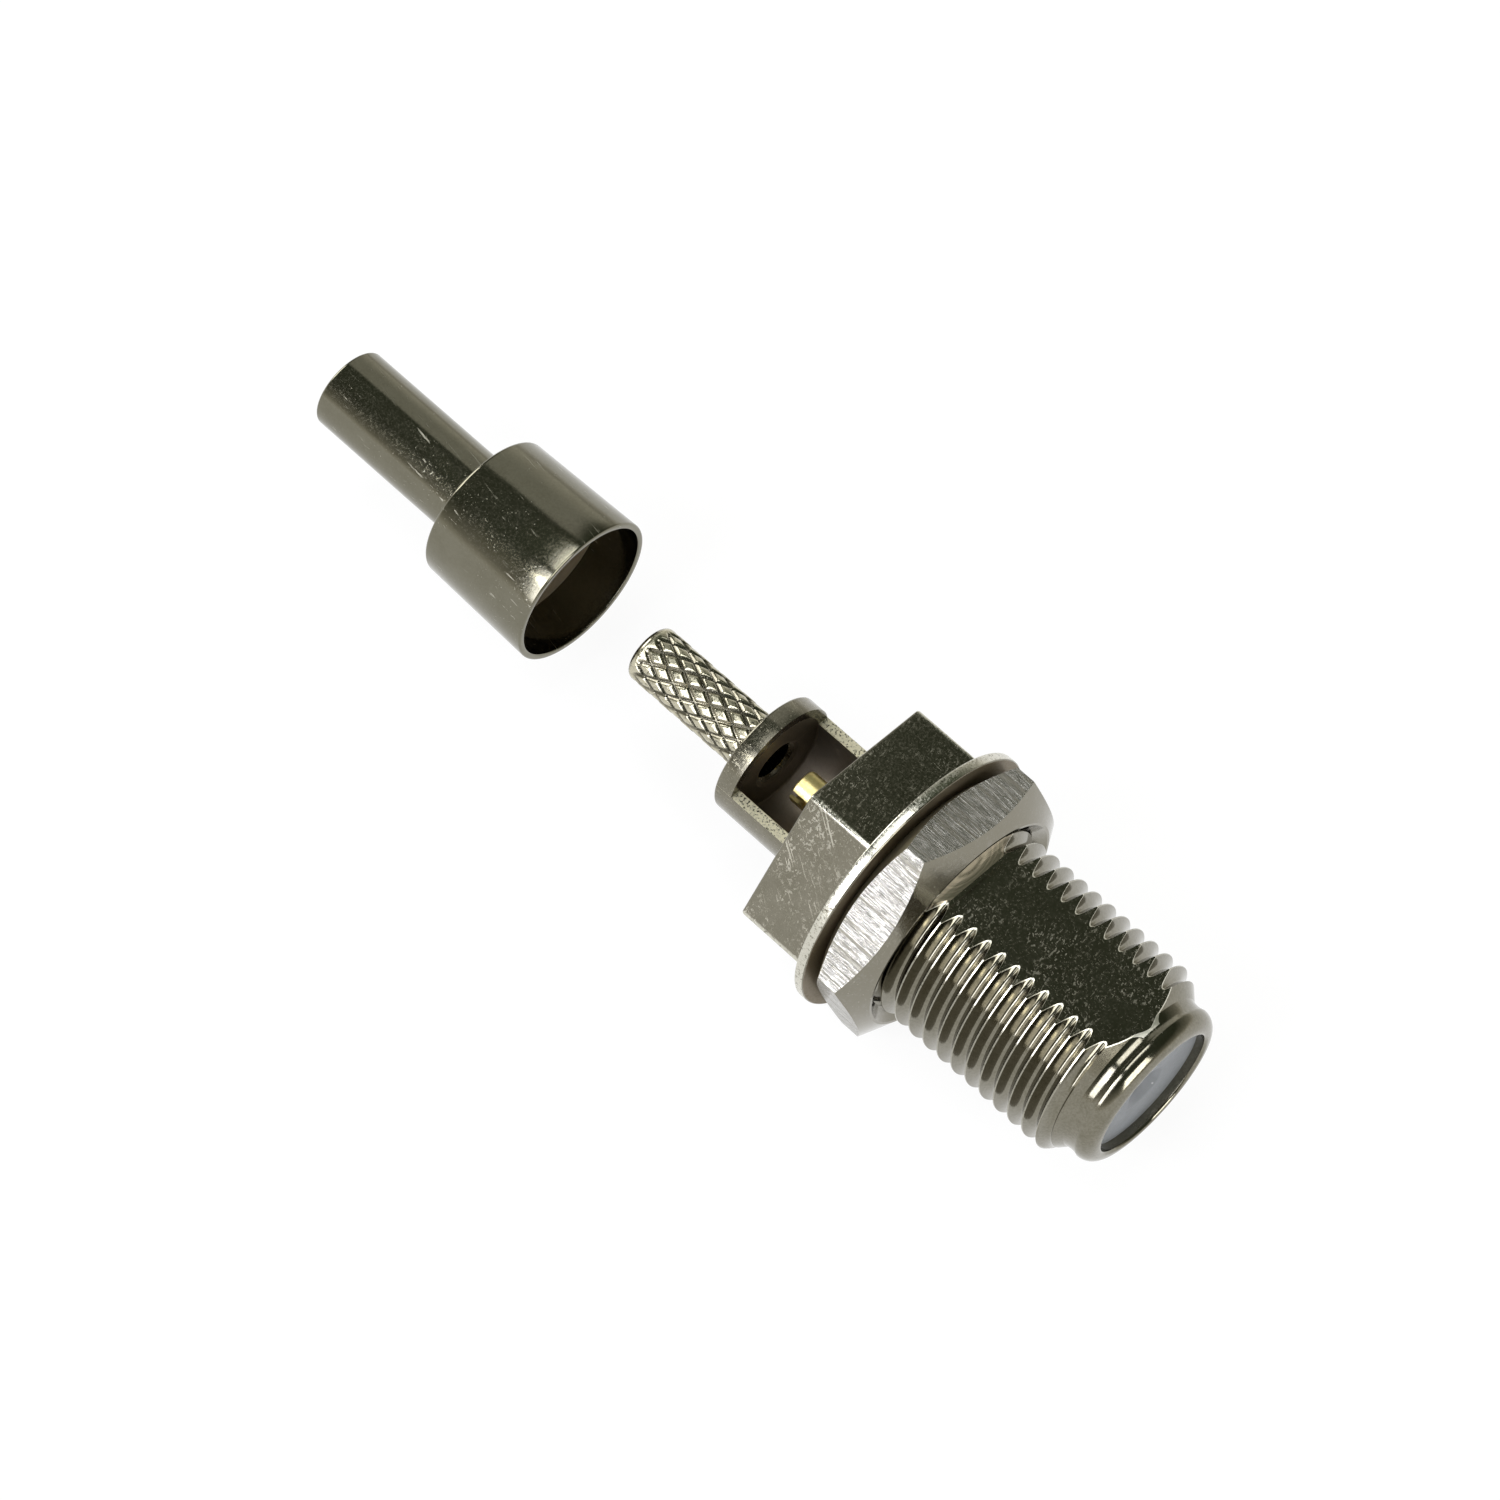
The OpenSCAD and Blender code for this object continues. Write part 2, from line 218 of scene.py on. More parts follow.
def lathe(name, profile, steps=144):
    """Spins a closed profile of (radius, x) about the axis of the jack."""
    obj = outline(name, [(x, 0.0, r) for r, x in profile])
    bpy.ops.mesh.select_all(action="SELECT")
    bpy.ops.mesh.spin(steps=steps, angle=FULL_TURN, center=(0, 0, 0), axis=(1, 0, 0))
    close_up()
    return obj


def helix(name, section, pitch, turns, steps=120):
    """Winds a closed section of (radius, x) about the axis as a right-hand screw."""
    obj = outline(name, [(x, 0.0, r) for r, x in section])
    bpy.ops.object.mode_set(mode="OBJECT")
    screw = obj.modifiers.new("Winding", "SCREW")
    screw.axis = "X"
    screw.angle = FULL_TURN
    screw.screw_offset = pitch
    screw.steps = steps
    screw.render_steps = steps
    screw.iterations = turns
    screw.use_normal_calculate = True
    activate(obj)
    bpy.ops.object.modifier_apply(modifier=screw.name)
    bpy.ops.object.mode_set(mode="EDIT")
    bpy.ops.mesh.select_all(action="SELECT")
    bpy.ops.mesh.remove_doubles(threshold=1e-4)
    bpy.ops.mesh.fill_holes(sides=0)
    close_up()
    return obj


def prism(name, points, depth):
    """Extrudes an outline of (x, z) evenly both ways along Y."""
    obj = outline(name, [(x, -depth / 2, z) for x, z in points])
    bpy.ops.mesh.edge_face_add()
    bpy.ops.mesh.extrude_region_move(TRANSFORM_OT_translate={"value": (0, depth, 0)})
    close_up()
    return obj


def hexagon(name, across, start, end, turn=0.0):
    """A hexagonal bar along the axis, with a flat square to +Z before its turn."""
    clear_selection()
    bpy.ops.mesh.primitive_cylinder_add(
        vertices=6, radius=across / math.sqrt(3), depth=end - start,
        location=((start + end) / 2, 0, 0), rotation=(0, math.pi / 2, 0))
    obj = bpy.context.object
    obj.name = name
    obj.data.name = name
    bpy.ops.object.transform_apply(location=True, rotation=True, scale=True)
    turn_about_axis(obj, turn)
    return obj


def turn_about_axis(obj, angle):
    """Turns a piece about the axis of the jack and applies the turn."""
    activate(obj)
    obj.rotation_euler = (angle, 0, 0)
    bpy.ops.object.transform_apply(location=True, rotation=True, scale=True)


def combine(obj, tool, operation):
    """Adds, cuts or intersects one solid with another, and uses the second one up."""
    step = obj.modifiers.new(operation.title(), "BOOLEAN")
    step.operation = operation
    step.object = tool
    step.solver = "EXACT"
    activate(obj)
    bpy.ops.object.modifier_apply(modifier=step.name)
    bpy.data.objects.remove(tool)
    bpy.ops.object.mode_set(mode="EDIT")
    bpy.ops.mesh.select_all(action="SELECT")
    bpy.ops.mesh.remove_doubles(threshold=1e-4)
    bpy.ops.object.mode_set(mode="OBJECT")


def soften(obj, width, angle=35.0, segments=2):
    """Rounds the sharp edges of a piece by a small bevel."""
    bevel = obj.modifiers.new("Soft edges", "BEVEL")
    bevel.width = width
    bevel.segments = segments
    bevel.limit_method = "ANGLE"
    bevel.angle_limit = math.radians(angle)
    bevel.use_clamp_overlap = True
    activate(obj)
    bpy.ops.object.modifier_apply(modifier=bevel.name)


def finish_piece(obj, body, node, material, smooth=32.0):
    """Scales a piece to metres, shades it, hangs it from its body's empty and hides the CAD part that it
    replaces.
    """
    activate(obj)
    obj.scale = (MM, MM, MM)
    bpy.ops.object.transform_apply(location=True, rotation=True, scale=True)
    bpy.ops.object.shade_smooth_by_angle(angle=math.radians(smooth))
    even = obj.modifiers.new("Even normals", "WEIGHTED_NORMAL")
    even.keep_sharp = True
    even.weight = 80
    bpy.ops.object.modifier_apply(modifier=even.name)
    obj.data.materials.clear()
    obj.data.materials.append(material)
    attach(obj, body)
    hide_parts(node)
    return obj


# Shader helpers

def put(tree, kind, links=None, **settings):
    """Adds a node, sets it, and fills its inputs with values or links."""
    node = tree.nodes.new(kind)
    for key, value in settings.items():
        setattr(node, key, value)
    for key, value in (links or {}).items():
        if isinstance(value, bpy.types.NodeSocket):
            tree.links.new(value, node.inputs[key])
        else:
            node.inputs[key].default_value = value
    return node


def maths(tree, operation, a, b=0.0, clamp=False):
    return put(tree, "ShaderNodeMath", {0: a, 1: b}, operation=operation, use_clamp=clamp).outputs[0]


def ramp(tree, value, low, high, to_low=0.0, to_high=1.0):
    return put(tree, "ShaderNodeMapRange", {
        "Value": value, "From Min": low, "From Max": high,
        "To Min": to_low, "To Max": to_high}).outputs[0]


def blend(tree, factor, a, b):
    return put(tree, "ShaderNodeMix", {0: factor, 6: a, 7: b}, data_type="RGBA").outputs[2]


def new_group(name, inputs, outputs):
    """Starts a shader node group with named float or vector inputs and float outputs."""
    tree = bpy.data.node_groups.new(name, "ShaderNodeTree")
    for label, kind, value in inputs:
        socket = tree.interface.new_socket(label, in_out="INPUT", socket_type=kind)
        if kind == "NodeSocketFloat":
            socket.default_value = value
    for label in outputs:
        tree.interface.new_socket(label, in_out="OUTPUT", socket_type="NodeSocketFloat")
    return tree, tree.nodes.new("NodeGroupInput").outputs, tree.nodes.new("NodeGroupOutput").inputs


def turning_marks_group():
    """Fine rings that a lathe leaves, on faces and on rounds alike."""
    tree, given, out = new_group("Turning marks", [
        ("Vector", "NodeSocketVector", None), ("Density", "NodeSocketFloat", 14.0)],
        ["Height", "Rings", "Radius", "Along"])
    parts = put(tree, "ShaderNodeSeparateXYZ", {0: given["Vector"]}).outputs
    across = put(tree, "ShaderNodeCombineXYZ", {1: parts[1], 2: parts[2]}).outputs[0]
    radius = put(tree, "ShaderNodeVectorMath", {0: across}, operation="LENGTH").outputs["Value"]
    place = maths(tree, "ADD", parts[0], maths(tree, "MULTIPLY", radius, 0.83))
    wobble = put(tree, "ShaderNodeTexNoise", {"Vector": given["Vector"], "Scale": 0.35}).outputs[0]
    place = maths(tree, "ADD", place, maths(tree, "MULTIPLY", wobble, 0.05))
    fine = put(tree, "ShaderNodeTexNoise", {
        "W": maths(tree, "MULTIPLY", place, given["Density"]), "Scale": 1.0, "Detail": 4.0,
        "Roughness": 0.7}, noise_dimensions="1D").outputs[0]
    tree.links.new(fine, out["Height"])
    tree.links.new(ramp(tree, fine, 0.52, 0.72), out["Rings"])
    tree.links.new(radius, out["Radius"])
    tree.links.new(parts[0], out["Along"])
    return tree


def scratches_group():
    """Long thin marks in one direction, broken up by a coarse noise."""
    tree, given, out = new_group("Fine scratches", [
        ("Vector", "NodeSocketVector", None), ("Turn", "NodeSocketFloat", 0.6),
        ("Density", "NodeSocketFloat", 6.0), ("Amount", "NodeSocketFloat", 0.5)],
        ["Mask"])
    turned = put(tree, "ShaderNodeVectorRotate", {
        "Vector": given["Vector"], "Axis": (0.35, 0.25, 1.0), "Angle": given["Turn"]}).outputs[0]
    stretched = put(tree, "ShaderNodeVectorMath", {0: turned, 1: (0.045, 1.0, 1.0)},
                    operation="MULTIPLY").outputs[0]
    lines = put(tree, "ShaderNodeTexNoise", {
        "Vector": stretched, "Scale": given["Density"], "Detail": 3.0, "Roughness": 0.6}).outputs[0]
    patches = put(tree, "ShaderNodeTexNoise", {
        "Vector": given["Vector"], "Scale": 0.45, "Detail": 2.0}).outputs[0]
    edge = maths(tree, "SUBTRACT", 0.71, maths(tree, "MULTIPLY", given["Amount"], 0.16))
    thin = put(tree, "ShaderNodeMapRange", {
        "Value": lines, "From Min": edge, "From Max": maths(tree, "ADD", edge, 0.05)}).outputs[0]
    tree.links.new(maths(tree, "MULTIPLY", thin, ramp(tree, patches, 0.38, 0.6)), out["Mask"])
    return tree


def speckle_group():
    """Small bright or dull specks of dust and pitting."""
    tree, given, out = new_group("Speckle", [
        ("Vector", "NodeSocketVector", None), ("Density", "NodeSocketFloat", 9.0),
        ("Amount", "NodeSocketFloat", 0.3)], ["Mask"])
    cells = put(tree, "ShaderNodeTexVoronoi", {"Vector": given["Vector"], "Scale": given["Density"]})
    pick = put(tree, "ShaderNodeSeparateColor", {0: cells.outputs["Color"]}).outputs[0]
    chosen = maths(tree, "LESS_THAN", pick, given["Amount"])
    spot = ramp(tree, cells.outputs["Distance"], 0.34, 0.16)
    tree.links.new(maths(tree, "MULTIPLY", spot, chosen), out["Mask"])
    return tree


def drawn_lines_group():
    """Fine lines along the axis, as a broached or milled flat carries them."""
    tree, given, out = new_group("Drawn lines", [
        ("Vector", "NodeSocketVector", None), ("Density", "NodeSocketFloat", 5.0)],
        ["Height", "Mask"])
    stretched = put(tree, "ShaderNodeVectorMath", {0: given["Vector"], 1: (0.014, 1.0, 1.0)},
                    operation="MULTIPLY").outputs[0]
    lines = put(tree, "ShaderNodeTexNoise", {
        "Vector": stretched, "Scale": given["Density"], "Detail": 5.0, "Roughness": 0.8}).outputs[0]
    tree.links.new(lines, out["Height"])
    tree.links.new(ramp(tree, lines, 0.52, 0.58), out["Mask"])
    return tree


def edge_wear_and_highlight_group():
    """Bright broken rims beyond a distance from the axis, between two places along it: a painted edge highlight
    over rubbed plating.
    """
    tree, given, out = new_group("Edge wear", [
        ("Vector", "NodeSocketVector", None), ("Radius", "NodeSocketFloat", 6.3),
        ("Low", "NodeSocketFloat", -1.0), ("High", "NodeSocketFloat", 1.0)], ["Mask"])
    parts = put(tree, "ShaderNodeSeparateXYZ", {0: given["Vector"]}).outputs
    across = put(tree, "ShaderNodeCombineXYZ", {1: parts[1], 2: parts[2]}).outputs[0]
    radius = put(tree, "ShaderNodeVectorMath", {0: across}, operation="LENGTH").outputs["Value"]
    nicks = put(tree, "ShaderNodeTexNoise", {
        "Vector": given["Vector"], "Scale": 7.0, "Detail": 4.0, "Roughness": 0.7}).outputs[0]
    edge = ramp(tree, maths(tree, "SUBTRACT", radius, given["Radius"]), 0.0, 0.04)
    within = maths(tree, "MULTIPLY", maths(tree, "GREATER_THAN", parts[0], given["Low"]),
                   maths(tree, "LESS_THAN", parts[0], given["High"]))
    edge = maths(tree, "MULTIPLY", edge, within)
    tree.links.new(maths(tree, "MULTIPLY", edge, ramp(tree, nicks, 0.36, 0.46)), out["Mask"])
    return tree


def mottle_group():
    """Cloudy change of the plating's tone, with a finer grain over it."""
    tree, given, out = new_group("Mottle", [
        ("Vector", "NodeSocketVector", None), ("Scale", "NodeSocketFloat", 1.2)],
        ["Clouds", "Grain"])
    clouds = put(tree, "ShaderNodeTexNoise", {
        "Vector": given["Vector"], "Scale": given["Scale"], "Detail": 5.0, "Roughness": 0.62}).outputs[0]
    grain = put(tree, "ShaderNodeTexNoise", {
        "Vector": given["Vector"], "Scale": maths(tree, "MULTIPLY", given["Scale"], 8.0),
        "Detail": 3.0, "Roughness": 0.7}).outputs[0]
    tree.links.new(ramp(tree, clouds, 0.34, 0.66), out["Clouds"])
    tree.links.new(grain, out["Grain"])
    return tree


GROUPS = {}


def shared(name):
    """Builds each shared node group once."""
    if name not in GROUPS:
        GROUPS[name] = {
            "turning": turning_marks_group, "scratches": scratches_group,
            "speckle": speckle_group, "mottle": mottle_group, "drawn": drawn_lines_group,
            "edge": edge_wear_and_highlight_group}[name]()
    return GROUPS[name]


def place_group(tree, name, **values):
    node = put(tree, "ShaderNodeGroup", node_tree=shared(name))
    for key, value in values.items():
        if isinstance(value, bpy.types.NodeSocket):
            tree.links.new(value, node.inputs[key])
        else:
            node.inputs[key].default_value = value
    return node.outputs


def start_material(name):
    """An empty material with its shader and its coordinates in millimetres."""
    material = bpy.data.materials.new(name)
    material.use_nodes = True
    tree = material.node_tree
    tree.nodes.clear()
    shader = put(tree, "ShaderNodeBsdfPrincipled")
    output = put(tree, "ShaderNodeOutputMaterial")
    tree.links.new(shader.outputs[0], output.inputs[0])
    place = put(tree, "ShaderNodeTexCoord").outputs["Object"]
    place = put(tree, "ShaderNodeMapping", {"Vector": place, "Scale": (1000, 1000, 1000)}).outputs[0]
    return material, tree, shader, place


def turned_level(tree, place, turn):
    """Height above the axis, seen in a frame turned about it."""
    turned = put(tree, "ShaderNodeVectorRotate", {"Vector": place, "Angle": -turn},
                 rotation_type="X_AXIS").outputs[0]
    return put(tree, "ShaderNodeSeparateXYZ", {0: turned}).outputs[2]


def between(tree, value, low, high):
    """A mask that is 1 where the value lies between the two limits."""
    return maths(tree, "MULTIPLY", maths(tree, "GREATER_THAN", value, low),
                 maths(tree, "LESS_THAN", value, high))


def plated_metal(name, clean, dull, bright, gloss=0.08, turning=0.12, density=14.0, scratches=0.5,
                 turn=0.6, speckle=0.3, marked=0.3, relief=0.008, worn_and_highlit=(), drawn=0.0, flat=None, faced=None,
                 inner=None, gap=None, grain=0.3):
    """Worn plating over turned or milled brass, with painted highlights, reflections and shade.

    worn lists the distances from the axis where edges are painted bright, a painted edge highlight over rubbed
    plating, each with its two ends, drawn is the strength of
    the lines on faces along the axis, flat is the turn, height and end of a milled flat whose
    edges carry a painted highlight line, and the two ends of the cutter's run-out, painted light brown as a
    painted reflection, faced is the turn and height of cut faces painted bright and rough as a painted highlight,
    inner is the radius, start and colour painted on an inside in place of its light and shade, and gap is the
    range of the normal along the axis, the two ends and the colour painted on faces between two pieces as their
    shade and reflection.
    """
    material, tree, shader, place = start_material(name)
    shader.inputs["Metallic"].default_value = 1.0
    mottle = place_group(tree, "mottle", Vector=place, Scale=1.1)
    rings = place_group(tree, "turning", Vector=place, Density=density)
    lines = place_group(tree, "scratches", Vector=place, Turn=turn, Density=7.0, Amount=scratches)[0]
    cross = place_group(tree, "scratches", Vector=place, Turn=turn + 1.9, Density=11.0,
                        Amount=scratches * 0.7)[0]
    specks = place_group(tree, "speckle", Vector=place, Density=7.5, Amount=speckle)[0]
    fine_specks = place_group(tree, "speckle", Vector=place, Density=16.0, Amount=speckle * 0.6)[0]
    marks = maths(tree, "MAXIMUM", lines, cross)
    marks = maths(tree, "MAXIMUM", marks, maths(tree, "MAXIMUM", specks, fine_specks))
    grit = ramp(tree, mottle["Grain"], 0.46, 0.68)
    along = rings["Along"]
    facing = put(tree, "ShaderNodeSeparateXYZ", {
        0: put(tree, "ShaderNodeNewGeometry").outputs["Normal"]}).outputs
    if flat:
        quiet = maths(tree, "MULTIPLY", between(tree, along, 0.05, 50.0),
                      maths(tree, "LESS_THAN", facing[2], 0.995))
        loud = maths(tree, "SUBTRACT", 1.0, maths(tree, "MULTIPLY", quiet, 0.9))
        marks = maths(tree, "MULTIPLY", marks, loud)
        grit = maths(tree, "MULTIPLY", grit, loud)
    tone = maths(tree, "MULTIPLY", mottle["Clouds"], 0.4)
    tone = maths(tree, "ADD", tone, ramp(tree, mottle["Grain"], 0.35, 0.65, -0.25, 0.45))
    tone = maths(tree, "ADD", tone, maths(tree, "MULTIPLY", rings["Rings"], turning * 0.4), clamp=True)
    height = maths(tree, "MULTIPLY", rings["Height"], turning)
    height = maths(tree, "ADD", height, maths(tree, "MULTIPLY", mottle["Grain"], 0.35))
    height = maths(tree, "SUBTRACT", height, maths(tree, "MULTIPLY", marks, 0.5))
    rough = maths(tree, "ADD", gloss, maths(tree, "MULTIPLY", mottle["Grain"], 0.07))
    rough = maths(tree, "ADD", rough, maths(tree, "MULTIPLY", rings["Rings"], turning * 0.2))
    rough = maths(tree, "ADD", rough, maths(tree, "MULTIPLY", marks, 0.25))
    if drawn:
        side = maths(tree, "LESS_THAN", maths(tree, "ABSOLUTE", facing[0]), 0.1)
        lines = place_group(tree, "drawn", Vector=place, Density=4.2)
        height = maths(tree, "ADD", height, maths(
            tree, "MULTIPLY", lines["Height"], maths(tree, "MULTIPLY", side, drawn * 24.0)))
        streaks = maths(tree, "MULTIPLY", lines["Mask"], maths(tree, "MULTIPLY", side, drawn))
        plain = maths(tree, "SUBTRACT", 1.0, side)
        tone = maths(tree, "MULTIPLY", tone, maths(tree, "ADD", 0.3, maths(tree, "MULTIPLY", plain, 0.7)))
        tone = maths(tree, "ADD", tone, maths(tree, "MULTIPLY", plain, 0.8))
        tone = maths(tree, "ADD", tone, streaks, clamp=True)
        rough = maths(tree, "ADD", rough, maths(tree, "MULTIPLY", streaks, 0.5))
    base = blend(tree, tone, (*clean, 1.0), (*dull, 1.0))
    base = blend(tree, maths(tree, "MULTIPLY", marks, marked), base, (*bright, 1.0))
    base = blend(tree, maths(tree, "MULTIPLY", grit, grain * 0.12), base, (*bright, 1.0))
    rough = maths(tree, "ADD", rough, maths(tree, "MULTIPLY", grit, grain * 0.3))
    # The listed rims are painted bright: a painted edge highlight over rubbed plating.
    for radius, low, high in worn_and_highlit:
        edge = place_group(tree, "edge", Vector=place, Radius=radius, Low=low, High=high)[0]
        base = blend(tree, maths(tree, "MULTIPLY", edge, 0.7), base, (*bright, 1.0))
        rough = maths(tree, "ADD", rough, maths(tree, "MULTIPLY", edge, 0.05))
    if flat:
        # The bright line along the flat's edges is a painted edge highlight. The cutter's run-out is painted
        # light brown as a painted reflection.
        level = maths(tree, "SUBTRACT", turned_level(tree, place, flat[0]), flat[1] - 0.022)
        rim = maths(tree, "LESS_THAN", maths(tree, "ABSOLUTE", level), 0.02)
        rim = maths(tree, "MULTIPLY", rim, between(tree, along, 0.05, flat[2]))
        base = blend(tree, rim, base, (*bright, 1.0))
        rough = maths(tree, "ADD", rough, maths(tree, "MULTIPLY", rim, 0.3))
        runout_painted_light = maths(tree, "MULTIPLY", maths(tree, "GREATER_THAN", level, 0.04),
                      between(tree, along, flat[3], flat[4]))
        runout_painted_light = maths(tree, "MULTIPLY", runout_painted_light, between(tree, facing[0], 0.1, 0.98))
        runout_painted_light = maths(tree, "MULTIPLY", runout_painted_light, ramp(tree, rings["Height"], 0.3, 0.6, 0.45, 1.0))
        base = blend(tree, runout_painted_light, base, (0.52, 0.46, 0.35, 1.0))
        rough = maths(tree, "ADD", rough, maths(tree, "MULTIPLY", runout_painted_light, 0.3))
    if inner:
        # An inside is painted a set colour in place of its light and shade.
        inside_light_and_shade = maths(tree, "MULTIPLY", maths(tree, "LESS_THAN", rings["Radius"], inner[0]),
                     maths(tree, "GREATER_THAN", along, inner[1]))
        base = blend(tree, maths(tree, "MULTIPLY", inside_light_and_shade, 0.8), base, (*inner[2], 1.0))
        rough = maths(tree, "ADD", rough, maths(tree, "MULTIPLY", inside_light_and_shade, 0.3))
    if gap:
        # Faces between two pieces are painted a set colour as their painted shade and reflection.
        gap_light_and_shade = maths(tree, "MULTIPLY", between(tree, facing[0], gap[0], gap[1]),
                       between(tree, along, gap[2], gap[3]))
        base = blend(tree, maths(tree, "MULTIPLY", gap_light_and_shade, 0.8), base, (*gap[4], 1.0))
        rough = maths(tree, "ADD", rough, maths(tree, "MULTIPLY", gap_light_and_shade, 0.35))
    if faced:
        # Cut faces are painted bright and rough as a painted highlight.
        level = maths(tree, "SUBTRACT", turned_level(tree, place, faced[0]), faced[1])
        cut = maths(tree, "LESS_THAN", maths(tree, "ABSOLUTE", level), 0.004)
        cut = maths(tree, "MULTIPLY", cut, ramp(tree, mottle["Grain"], 0.36, 0.5))
        base = blend(tree, cut, base, (*bright, 1.0))
        rough = maths(tree, "ADD", rough, maths(tree, "MULTIPLY", cut, 0.4))
    tree.links.new(base, shader.inputs["Base Color"])
    tree.links.new(rough, shader.inputs["Roughness"])
    bump = put(tree, "ShaderNodeBump", {
        "Strength": 0.5, "Distance": relief * MM, "Height": height}).outputs[0]
    tree.links.new(bump, shader.inputs["Normal"])
    return material


def moulded_plastic(name, value, shine=0.42):
    """Matt moulded plastic with faint flow marks, specks and rings."""
    material, tree, shader, place = start_material(name)
    mottle = place_group(tree, "mottle", Vector=place, Scale=0.8)
    rings = place_group(tree, "turning", Vector=place, Density=7.0)
    specks = place_group(tree, "speckle", Vector=place, Density=5.0, Amount=0.12)[0]
    darker = tuple(c * 0.78 for c in value)
    base = blend(tree, maths(tree, "MULTIPLY", mottle["Clouds"], 0.5), (*value, 1.0), (*darker, 1.0))
    base = blend(tree, maths(tree, "MULTIPLY", specks, 0.4), base, (0.9, 0.9, 0.9, 1.0))
    tree.links.new(base, shader.inputs["Base Color"])
    rough = maths(tree, "ADD", shine, maths(tree, "MULTIPLY", mottle["Grain"], 0.2))
    tree.links.new(rough, shader.inputs["Roughness"])
    height = maths(tree, "ADD", mottle["Grain"], maths(tree, "MULTIPLY", rings["Height"], 0.5))
    bump = put(tree, "ShaderNodeBump", {
        "Strength": 0.4, "Distance": 0.03 * MM, "Height": height}).outputs[0]
    tree.links.new(bump, shader.inputs["Normal"])
    shader.inputs["Specular IOR Level"].default_value = 0.45
    return material


def sizes_in_mm(context):
    """The sidebar's lengths as plain numbers in millimetres, and its angles in radians."""
    group = context.scene.jack_sizes
    found = {}
    for key in JackSizes.__annotations__:
        value = getattr(group, key)
        plain = key.endswith("_turn") or key == "knurl_starts"
        found[key] = value if plain else value / MM
    return found


class JACK_OT_body(bpy.types.Operator):
    """Hexagon, flange, threaded barrel and rolled nose, milled and bored"""
    bl_idname = "jack.build_body"
    bl_label = "Jack Body"

    def execute(self, context):
        s = sizes_in_mm(context)
        finish = context.scene.jack_finish
        rear, nose = BODY_LOW[0] / MM, BODY_HIGH[0] / MM
        crest, neck = s["thread_d"] / 2, s["nose_d"] / 2
        rim, back = s["flange_d"] / 2, -s["flange_t"]
        cone = s["thread_end"] + crest - neck
        lip = s["lip_round"]
        mouth = s["mouth_d"] / 2
        neck_len, waist = nose - lip - cone, (cone + nose - lip) / 2
        bend = neck_len * neck_len / (8 * s["waist"]) + s["waist"] / 2
        swing = math.degrees(math.asin(neck_len / 2 / bend))
        body = lathe("body_turned", [(0.0, back)]
                     + arc(rim - 0.09, back + 0.09, 0.09, -90, 0, 6)
                     + arc(rim - 0.09, -0.09, 0.09, 0, 90, 6)
                     + [(crest + 0.06, 0.0), (crest, 0.06), (crest, s["thread_end"] - 0.05),
                        (crest - 0.04, s["thread_end"] + 0.04), (neck + 0.03, cone - 0.03)]
                     + arc(neck + bend - s["waist"], waist, bend, 180 + swing, 180 - swing, 8)
                     + arc(neck - lip, nose - lip, lip, 4, 90, 14)
                     + [(0.0, nose)], steps=192)
        bar = hexagon("body_bar", s["hex_across"], rear, back + 0.2)
        soften(bar, 0.12, segments=4)
        combine(body, bar, "UNION")
        inside = lathe("body_cavity", [
            (0.0, rear - 1), (s["chamber_d"] / 2 + 0.02, rear - 1),
            (s["chamber_d"] / 2 + 0.02, -s["tail_seat"]), (s["chamber_bore"] / 2, -s["tail_seat"]),
            (s["chamber_bore"] / 2, s["cavity_floor"]), (s["cavity_d"] / 2, s["cavity_floor"]),
            (s["cavity_d"] / 2, FRONT_HIGH[0] / MM), (mouth, FRONT_HIGH[0] / MM)]
            + [(r, x) for r, x in arc(mouth + 0.14, nose - 0.14, 0.14, 180, 90, 5)]
            + [(mouth + 0.14, nose + 1), (0.0, nose + 1)], steps=192)
        combine(body, inside, "DIFFERENCE")
        pitch, root = s["thread_pitch"], crest - s["thread_depth"]
        start, top = s["thread_lead"], pitch * 0.46
        groove = helix("body_groove", [
            (crest + 0.3, start - top - 0.03), (crest, start - top)]
            + [(root + (crest - root) * t * t, start + top * t)
               for t in [i / 7 for i in range(-6, 7)]]
            + [(crest, start + top), (crest + 0.3, start + top + 0.03)],
            pitch, int((cone - start) / pitch) + 1)
        combine(body, groove, "DIFFERENCE")
        first, height, radius = s["flat_start"], s["flat_height"], s["flat_runout"]
        runout = [(first + radius * math.cos(a), height + radius + radius * math.sin(a))
                  for a in [math.radians(180 + 90 * i / 8) for i in range(9)]]
        flat = prism("body_flat", runout + [(waist, height), (waist, crest + 3),
                                            (first - radius, crest + 3)], 2 * rim)
        turn_about_axis(flat, s["flat_turn"])
        combine(body, flat, "DIFFERENCE")
        body.name = body.data.name = "jack_body_plated"
        # The rims of the hexagon, the flange and the thread's crests are painted bright: painted edge highlights
        # over rubbed plating. The flat's edges carry a painted highlight line, and its run-out carries a painted
        # reflection. The flange's front face is painted brown as painted shade between the flange and the nut.
        metal = plated_metal(
            "Milled nickel", finish.nickel, finish.nickel_stain, finish.worn_edge_and_highlight,
            turn=1.45, scratches=0.8, speckle=0.0, marked=0.15,
            worn_and_highlit=((s["hex_across"] / math.sqrt(3) - 0.09, rear, back), (rim - 0.05, back, -0.05),
                  (crest - 0.014, 0.05, s["thread_end"])),
            flat=(s["flat_turn"], height, waist, first - radius, first),
            gap=(0.9, 1.1, -0.06, 0.05, (0.22, 0.18, 0.125)), grain=0.55)
        finish_piece(body, "jack", "jack_body", metal, 20)
        return {"FINISHED"}


